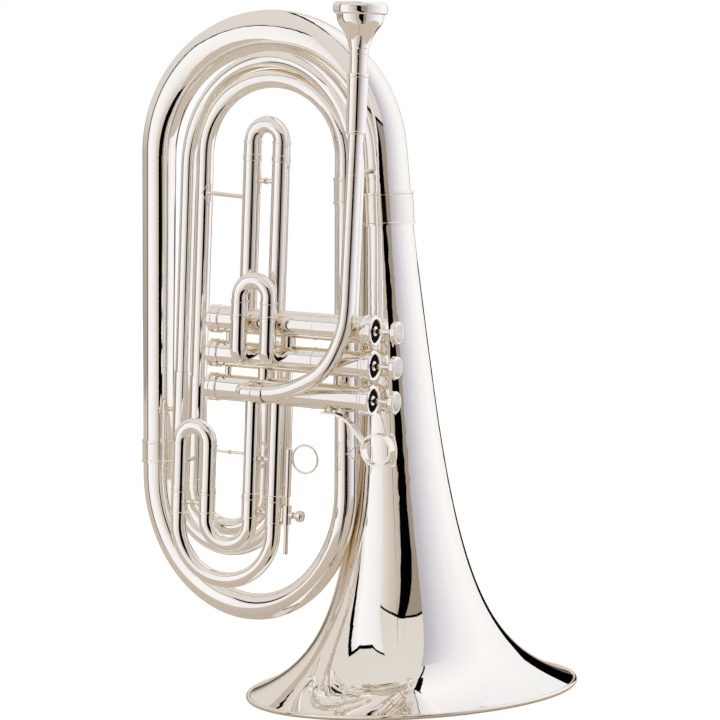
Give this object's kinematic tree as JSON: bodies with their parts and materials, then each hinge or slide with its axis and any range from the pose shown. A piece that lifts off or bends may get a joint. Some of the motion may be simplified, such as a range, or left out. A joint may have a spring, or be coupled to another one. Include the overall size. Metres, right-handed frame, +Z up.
{
  "type": "baritone horn",
  "caption": "Silver marching baritone horn standing on its bell, with piston valves, pull-out slides, finger rings and a cup mouthpiece.",
  "frame": {"origin": "centre of the bell mouth, on the surface the bell stands on", "axes": "+Z up along the bell axis; +X the way the finger buttons point, in the plane of the big loop; the valves and mouthpipe lie towards -Y"},
  "size_m": [0.3405, 0.2464, 0.5097],
  "materials": {
    "silver_bell": "bright polished silver plate",
    "silver_tube": "bright silver plate over drawn tube",
    "silver_fitting": "silver plate, lightly worn on edges",
    "silver_valve": "silver plate, turned and buffed",
    "silver_mouthpiece": "mirror silver plate",
    "piston_nickel": "honed nickel plate",
    "spring_steel": "drawn spring wire",
    "felt": "pressed black felt",
    "pearl": "pale pearl inlay"
  },
  "bodies": {
    "horn": {"bell": "silver_bell", "bell_ferrule": "silver_fitting", "bell_rim_wire": "silver_fitting", "bottom_bow": "silver_tube", "bottom_cap_1": "silver_valve", "bottom_cap_2": "silver_valve", "bottom_cap_3": "silver_valve", "branch_stays": "silver_fitting", "casing_links": "silver_fitting", "first_slide_sleeves": "silver_tube", "hand_ring": "silver_fitting", "inner_arc": "silver_tube", "inner_branch": "silver_tube", "inner_branch_ferrule": "silver_fitting", "inner_leg": "silver_tube", "left_branch": "silver_tube", "left_ferrule": "silver_fitting", "leg_stays": "silver_fitting", "mouthpiece_receiver": "silver_tube", "mouthpipe": "silver_tube", "mouthpipe_elbow": "silver_tube", "mouthpipe_ferrule": "silver_fitting", "mouthpipe_stay": "silver_fitting", "outer_loop": "silver_tube", "return_bend": "silver_tube", "second_slide_sleeves": "silver_tube", "third_slide_crossover": "silver_tube", "third_slide_sleeves": "silver_tube", "top_bow": "silver_tube", "top_cap_1": "silver_valve", "top_cap_2": "silver_valve", "top_cap_3": "silver_valve", "top_cap_felts": "felt", "tuning_slide_sleeves": "silver_tube", "valve_bell_stay": "silver_fitting", "valve_casing_1": "silver_valve", "valve_casing_2": "silver_valve", "valve_casing_3": "silver_valve", "valve_spring_1": "spring_steel", "valve_spring_2": "spring_steel", "valve_spring_3": "spring_steel"},
    "tuning_slide": {"main_tuning_slide": "silver_tube", "tuning_slide_stays": "silver_fitting"},
    "first_slide": {"first_valve_slide": "silver_tube"},
    "second_slide": {"second_valve_slide": "silver_tube"},
    "third_slide": {"third_valve_slide": "silver_tube", "third_slide_stays": "silver_fitting", "ring_holder": "silver_fitting"},
    "slide_ring": {"slide_finger_ring": "silver_fitting"},
    "thumb_screw": {"ring_thumb_screw": "silver_fitting"},
    "mouthpiece_body": {"mouthpiece": "silver_mouthpiece"},
    "valve_1": {"piston_1": "piston_nickel", "finger_button_1": "silver_valve", "button_inlay_1": "pearl"},
    "valve_2": {"piston_2": "piston_nickel", "finger_button_2": "silver_valve", "button_inlay_2": "pearl"},
    "valve_3": {"piston_3": "piston_nickel", "finger_button_3": "silver_valve", "button_inlay_3": "pearl"}
  },
  "joints": [
    {"name": "valve_1_press", "type": "slide", "parent": "horn", "child": "valve_1", "axis": [-0.9945, 0, 0.1045], "range_m": [0, 0.013], "stiffness_N_per_m": 120, "springref_m": -0.012, "deforming": ["valve_spring_1"]},
    {"name": "valve_2_press", "type": "slide", "parent": "horn", "child": "valve_2", "axis": [-0.9945, 0, 0.1045], "range_m": [0, 0.013], "stiffness_N_per_m": 120, "springref_m": -0.012, "deforming": ["valve_spring_2"]},
    {"name": "valve_3_press", "type": "slide", "parent": "horn", "child": "valve_3", "axis": [-0.9945, 0, 0.1045], "range_m": [0, 0.013], "stiffness_N_per_m": 120, "springref_m": -0.012, "deforming": ["valve_spring_3"]},
    {"name": "tuning_slide_pull", "type": "slide", "parent": "horn", "child": "tuning_slide", "axis": [-0.1045, 0, -0.9945], "range_m": [0, 0.012]},
    {"name": "first_slide_pull", "type": "slide", "parent": "horn", "child": "first_slide", "axis": [0.1045, 0, 0.9945], "range_m": [0, 0.06]},
    {"name": "second_slide_pull", "type": "slide", "parent": "horn", "child": "second_slide", "axis": [0.1045, 0, 0.9945], "range_m": [0, 0.014]},
    {"name": "third_slide_pull", "type": "slide", "parent": "horn", "child": "third_slide", "axis": [-0.1045, 0, -0.9945], "range_m": [0, 0.028]},
    {"name": "slide_ring_adjust", "type": "slide", "parent": "third_slide", "child": "slide_ring", "axis": [0.1045, 0, 0.9945], "range_m": [-0.005, 0.016]},
    {"name": "thumb_screw_turn", "type": "hinge", "parent": "third_slide", "child": "thumb_screw", "pos_m": [-0.06192, -0.065, 0.1381], "axis": [0.9945, 0, -0.1045], "range_deg": [0, 360]},
    {"name": "mouthpiece_pull", "type": "slide", "parent": "horn", "child": "mouthpiece_body", "axis": [0.1045, 0, 0.9945], "range_m": [0, 0.03]}
  ]
}
